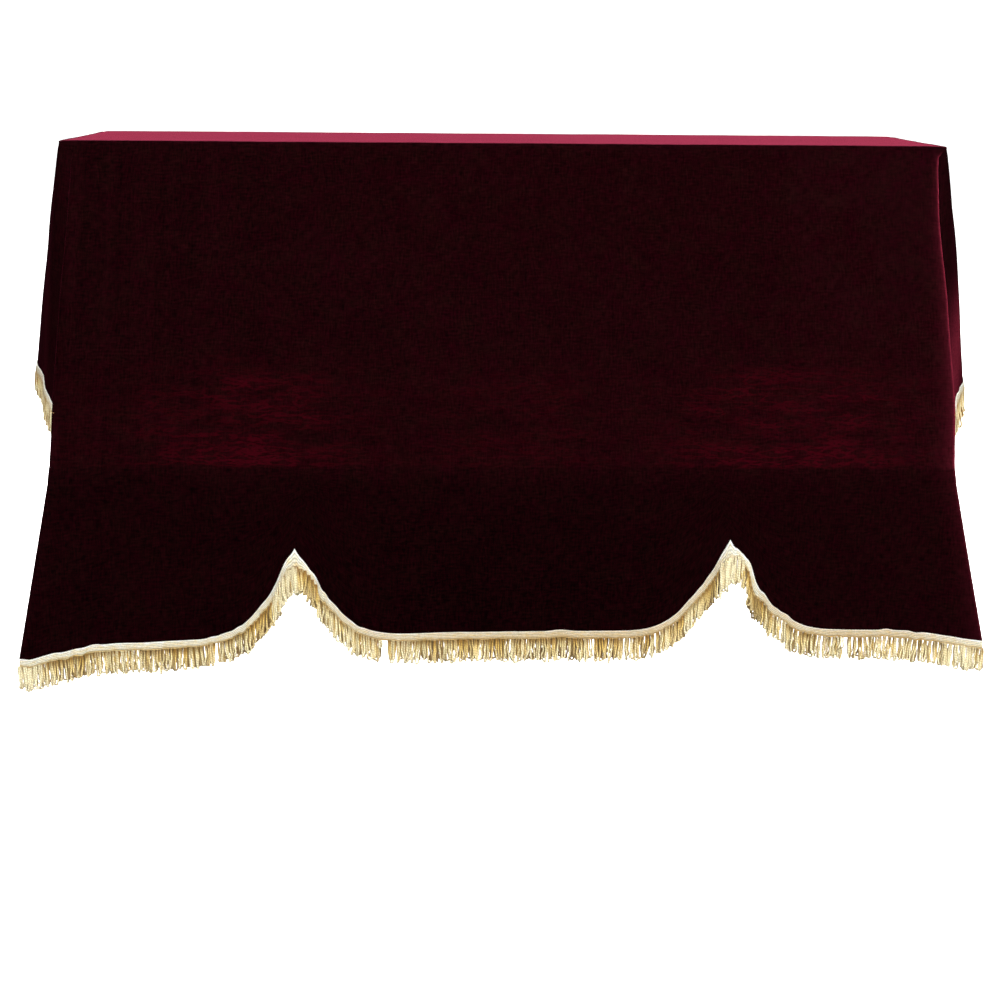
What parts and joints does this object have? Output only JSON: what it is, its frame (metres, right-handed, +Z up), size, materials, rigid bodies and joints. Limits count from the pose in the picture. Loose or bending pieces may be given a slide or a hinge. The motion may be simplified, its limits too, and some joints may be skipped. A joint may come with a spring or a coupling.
{
  "type": "piano cover",
  "caption": "Draped velvet cover for an upright piano: flat top, sloping front with a scalloped hanging flap, flared side panels and a looped fringe on a woven heading.",
  "frame": {"origin": "on the underside of the top, at the middle of the lid that it lies on", "axes": "+X along the piano to the right as seen from its front, +Y towards its back, +Z up"},
  "size_m": [1.6855, 0.663, 0.8991],
  "materials": {
    "velvet": "deep wine-red short-pile velvet, near black face on and bright at a grazing angle",
    "heading_yarn": "pale cream woven braid with lengthwise ribs",
    "fringe_yarn": "glossy gold and cream twisted rayon cord"
  },
  "bodies": {
    "root": {"main_panel": "velvet", "side_panel_left": "velvet", "side_panel_right": "velvet", "fringe_heading_front": "heading_yarn", "fringe_heading_left": "heading_yarn", "fringe_heading_right": "heading_yarn", "fringe_loops_front": "fringe_yarn", "fringe_loops_left": "fringe_yarn", "fringe_loops_right": "fringe_yarn"}
  },
  "joints": []
}
